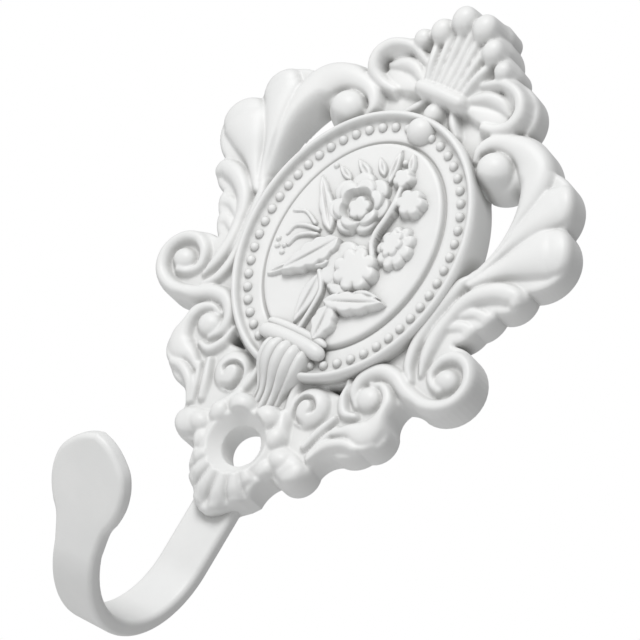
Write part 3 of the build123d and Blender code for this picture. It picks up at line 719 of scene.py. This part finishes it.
# Beads of the band: how many, how far in from the rim, their radius and the height of their middles
BEAD_COUNT, BEAD_INSET, BEAD_RADIUS, BEAD_LEVEL = 52, 2.2, 0.6, 4.92
PEARL_SPOT, PEARL_RADIUS, PEARL_LEVEL = (0, 16.9), 2.0, 4.6
BALL_CREASE = 60
# Rolls of the cushion, as (name, z, height, half length, radius)
CUSHION_ROLLS = [("cushion", -14.3, 5.7, 5.1, 1.15), ("cushion_lip", -12.95, 5.8, 4.7, 0.6)]
ROLL_SIDES, ROLL_RINGS, ROLL_SAG = 32, 40, 0.012
# The cup from top to foot, as (z, half width, height of its front)
CUP_SHAPE = [
    (-14.6, 3.3, 6.6), (-15.4, 3.7, 7.3), (-16.4, 3.85, 7.6), (-17.8, 3.8, 7.4), (-19.0, 3.5, 6.8),
    (-20.2, 2.9, 5.9), (-21.4, 2.5, 5.2), (-22.6, 2.5, 4.9), (-23.8, 2.7, 4.8), (-24.4, 2.7, 4.4),
]
# Flutes of the cup, depth of the cuts between them, and how far its front bends back at the sides
CUP_FLUTES, CUT_DEPTH, CUP_BEND = 5, 0.55, 0.8
# Heights of the cup's sides, of its back and of the points that close it, inside the casting
CUP_SIDE, CUP_BACK, CUP_CORE = 1.5, 1.4, 2.0
CUP_STEPS = 91


def build_medallion():
    """Oval rings: the frame's profile carried round the rim, then the cameo on rings that shrink.

    A ring's points are its half axes times the cosine and sine of even angles. The rings of the back
    and of the cameo end in one point each.
    """
    angle = np.linspace(0, 2 * math.pi, RIM_POINTS, endpoint=False)
    inset, level = np.array(FRAME_PROFILE).T[:, :, None]
    share = np.linspace(1, 0, CAMEO_RINGS + 1)[1:, None]
    point = np.zeros((1, RIM_POINTS))
    x_cameo = (RIM_X - CAMEO_INSET) * share * np.cos(angle)
    z_cameo = (RIM_Z - CAMEO_INSET) * share * np.sin(angle)
    cameo = np.full(x_cameo.size, CAMEO_HEIGHT)
    raise_bouquet(cameo, x_cameo.ravel(), z_cameo.ravel())
    x = np.vstack([point, (RIM_X - inset) * np.cos(angle), x_cameo])
    z = np.vstack([point, (RIM_Z - inset) * np.sin(angle), z_cameo])
    height = np.vstack([point + BACK_GAP, level + 0 * angle, cameo.reshape(x_cameo.shape)])
    make_piece("medallion", stand_up(x, z, height), rolled_grid(len(x), RIM_POINTS))


def build_balls(name, spots, radius, level, rings, turns):
    """Round balls of one size: the cosines of latitude and longitude times the radius."""
    lift = np.linspace(-math.pi / 2, math.pi / 2, rings + 1)
    turn = np.linspace(0, 2 * math.pi, turns, endpoint=False)
    x = np.outer(np.cos(lift), np.cos(turn)).ravel()
    z = np.outer(np.cos(lift), np.sin(turn)).ravel()
    height = np.outer(np.sin(lift), np.ones(turns)).ravel()
    spots = np.array(spots, float)
    points = stand_up(spots[:, :1] + radius * x, spots[:, 1:] + radius * z,
                      np.full((len(spots), 1), level) + radius * height)
    one = rolled_grid(rings + 1, turns)
    faces = (one[None] + (np.arange(len(spots)) * len(x))[:, None, None]).reshape(-1, 4)
    make_piece(name, points, faces, BALL_CREASE)


def build_beads():
    """Beads along the oval in the middle of the band, at even steps of its length."""
    wide, tall = RIM_X - BEAD_INSET, RIM_Z - BEAD_INSET
    angle = np.linspace(0, 2 * math.pi, 4001)
    x, z = wide * np.cos(angle), tall * np.sin(angle)
    run = np.concatenate([[0], np.cumsum(np.hypot(np.diff(x), np.diff(z)))])
    at = np.interp(np.arange(BEAD_COUNT) / BEAD_COUNT * run[-1], run, angle)
    spots = np.stack([wide * np.cos(at), tall * np.sin(at)], -1)
    build_balls("bead_ring", spots, BEAD_RADIUS, BEAD_LEVEL, rings=10, turns=16)


def build_cushion():
    """Two rolls of the cushion, and the pearl over the medallion's rim.

    A roll is a round bar whose radius is the root of 1 less the seventh power of its share of the
    half length, so that its ends are full. It sags by the square of the distance from the middle.
    """
    turn = np.linspace(0, 2 * math.pi, ROLL_SIDES, endpoint=False)
    for name, rise, level, reach, radius in CUSHION_ROLLS:
        along = np.sin(np.linspace(-math.pi / 2, math.pi / 2, ROLL_RINGS + 1))
        girth = (radius * np.clip(1 - np.abs(along) ** 7, 0, 1) ** 0.5)[:, None]
        x = (reach * along)[:, None] + 0 * turn
        z = rise + girth * np.sin(turn) - ROLL_SAG * x ** 2
        height = level + girth * np.cos(turn)
        make_piece(name, stand_up(x, z, height), rolled_grid(ROLL_RINGS + 1, ROLL_SIDES))
    build_balls("pearl", [PEARL_SPOT], PEARL_RADIUS, PEARL_LEVEL, rings=24, turns=40)


def build_cup():
    """Fluted cup: across it the front bends back to the sides, and ribs are cut between its flutes.

    The bend is the 0.3 power of 1 less the seventh power of the share of the half width. The flutes are
    half waves. Each end closes in a point inside the casting.
    """
    rise, half, front = smooth_line(CUP_SHAPE).T[:, :, None]
    across = np.sin(np.linspace(-math.pi / 2, math.pi / 2, CUP_STEPS))[None, :]
    flute = np.abs(np.sin(math.pi / 2 * (across * CUP_FLUTES + CUP_FLUTES % 2)))
    height = CUP_SIDE + (front - CUP_SIDE) * (1 - np.abs(across) ** 7) ** 0.3 - CUP_BEND * across ** 2
    cut = CUT_DEPTH * (1 - flute ** 0.6) * (np.abs(across) < 0.97)
    height = np.hstack([np.maximum(height - cut, CUP_SIDE), 0 * half + CUP_BACK, 0 * half + CUP_BACK])
    x = np.hstack([across * half, half, -half])
    z = np.broadcast_to(rise, x.shape)
    end = np.zeros((1, x.shape[1]))
    x, z = np.vstack([end, x, end]), np.vstack([z[:1], z, z[-1:]])
    height = np.vstack([end + CUP_CORE, height, end + CUP_CORE])
    make_piece("fluted_cup", stand_up(x, z, height), rolled_grid(*x.shape))


# The flat hook

# Half width and thickness of the bar, radius of its edges, and its shape: z of its root, drop of the
# leg under the hole, radius of the bend to the middle of the bar, and degrees that the paddle leans out
ARM_HALF, ARM_THICKNESS, ARM_ROUND = 3.25, 2.2, 0.75
ARM_ROOT, ARM_DROP, BEND_RADIUS, PADDLE_LEAN = -4.5, 16.0, 11.9, 34
# Half width of the paddle along its length from the end of the bend
PADDLE = [(0, ARM_HALF), (3.26, 3.86), (4.9, 4.75), (6.7, 5.44), (8.4, 5.7), (10.1, 5.57), (11.9, 4.9),
          (13.7, 3.2), (14.7, 1.6), (15.2, 0)]
LEG_STEPS, BEND_STEPS, PADDLE_STEPS = 12, 90, 60


def hook_outline(leg, bend):
    """Rows of (length along the bar, half width): down the leg, round the bend and along the paddle."""
    tip = smooth_line(PADDLE, 12)
    number = np.arange(len(tip))
    place = np.interp(np.linspace(0, 1, PADDLE_STEPS), np.linspace(0, 1, len(tip)), number)
    paddle = np.stack([np.interp(place, number, column) for column in tip.T], -1)
    run = np.concatenate([np.linspace(0, leg, LEG_STEPS, endpoint=False),
                          np.linspace(leg, leg + bend, BEND_STEPS, endpoint=False)])
    return np.vstack([np.stack([run, np.full(len(run), ARM_HALF)], -1), paddle + (leg + bend, 0)])


def bar_section():
    """Right half of the bar's section, from the middle of its front round the edge to its back.

    Each point has its inset from the outline, its share of the half width and its height over the
    bar's middle. The edge is two quarter rounds.
    """
    quarter, flat = np.linspace(0, math.pi / 2, 7), np.linspace(0, 1, 5)
    inset, rise = ARM_ROUND * (1 - np.cos(quarter)), ARM_ROUND * np.sin(quarter)
    half, core = ARM_THICKNESS / 2, ARM_THICKNESS / 2 - ARM_ROUND
    share = np.concatenate([flat, np.ones(12), flat[-2::-1]])
    inset = np.concatenate([np.full(5, ARM_ROUND), inset[-2::-1], inset[1:], np.full(4, ARM_ROUND)])
    out = np.concatenate([np.full(5, half), core + rise[-2::-1], -core - rise[1:], np.full(4, -half)])
    return inset, share, out


def build_flat_hook():
    """Flat bar in a J: its outline, drawn in by the section's insets, is bent and stood up.

    On the leg a point goes down by its length along the bar. In the bend it turns by the length over
    the radius, and beyond the bend it goes straight on along the paddle.
    """
    leg, turn = ARM_DROP + ARM_ROOT, math.radians(180 - PADDLE_LEAN)
    bend = turn * BEND_RADIUS
    line = hook_outline(leg, bend)
    slope = np.gradient(line, axis=0)
    slope[-1] = (0, -1)
    slope /= np.linalg.norm(slope, axis=1)[:, None]
    right_half = bar_section()
    inset, share, out = (np.concatenate([values, values[-2:0:-1]]) for values in right_half)
    side = np.where(np.arange(len(inset)) < len(right_half[0]), 1, -1)
    run = line[:, :1] + inset * slope[:, 1:]
    wide = np.maximum(line[:, 1:] - inset * slope[:, :1], 0) * share * side
    angle = np.clip((run - leg) / BEND_RADIUS, 0, turn)
    beyond = np.maximum(run - leg - bend, 0)
    y = -ARM_THICKNESS / 2 - BEND_RADIUS * (1 - np.cos(angle)) - beyond * np.sin(angle)
    z = ARM_ROOT - np.minimum(run, leg) - BEND_RADIUS * np.sin(angle) - beyond * np.cos(angle)
    y, z = y - out * np.cos(angle) - BACK_GAP, z + out * np.sin(angle)
    make_piece("flat_hook", np.stack([wide, y, z], -1).reshape(-1, 3) * MM, rolled_grid(*run.shape))


# The scene

place_camera()
plain_world(FILL_LIGHT)
softbox("key_softbox", KEY_SPOT, KEY_SIZE, KEY_WATTS)

WHITE_ENAMEL = enamel()
build_plaque()
build_medallion()
build_beads()
build_cushion()
build_cup()
build_flat_hook()

floor_mesh = bpy.data.meshes.new("pale_floor")
floor_corners = [(x * FLOOR_REACH, y * FLOOR_REACH, FLOOR_LEVEL)
                 for x, y in ((-1, -1), (1, -1), (1, 1), (-1, 1))]
floor_mesh.from_pydata(floor_corners, [], [(0, 1, 2, 3)])
floor = bpy.data.objects.new("pale_floor", floor_mesh)
bpy.context.scene.collection.objects.link(floor)
floor_mesh.materials.append(pale_floor_finish())
bpy.context.scene.view_settings.view_transform = "Standard"
